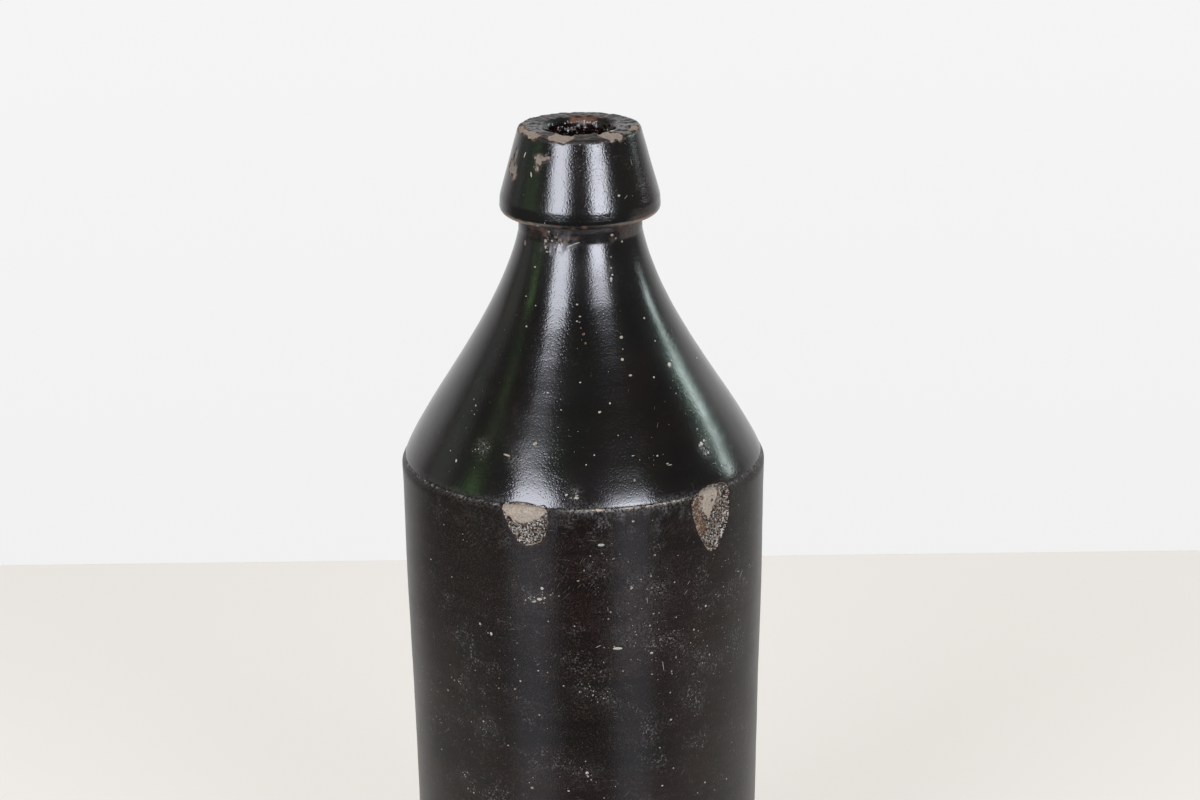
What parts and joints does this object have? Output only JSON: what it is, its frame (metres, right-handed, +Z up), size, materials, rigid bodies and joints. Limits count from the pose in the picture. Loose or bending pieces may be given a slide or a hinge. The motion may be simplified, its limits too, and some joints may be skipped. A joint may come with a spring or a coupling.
{
  "type": "stoneware ink bottle",
  "caption": "Tall dark-glazed stoneware ink bottle: near-straight body, conical shoulder swept up into a short neck, and a tapered lip collar round an open cork mouth.",
  "frame": {"origin": "centre of the foot, on the surface the bottle stands on", "axes": "+Z up along the bottle's axis, -Y towards the side that the picture shows, +X to that view's right"},
  "size_m": [0.0958, 0.0958, 0.248],
  "materials": {
    "body_glaze": "worn satin dark brown slip glaze with pale pits and scratches",
    "shoulder_glaze": "glossy near-black glaze with small pits and a worn pale line at the seam",
    "lip_glaze": "glossy near-black glaze with a greenish cast, chipped to buff stoneware along the mouth"
  },
  "bodies": {
    "root": {"body": "body_glaze", "shoulder_and_neck": "shoulder_glaze", "lip_collar": "lip_glaze"}
  },
  "joints": []
}
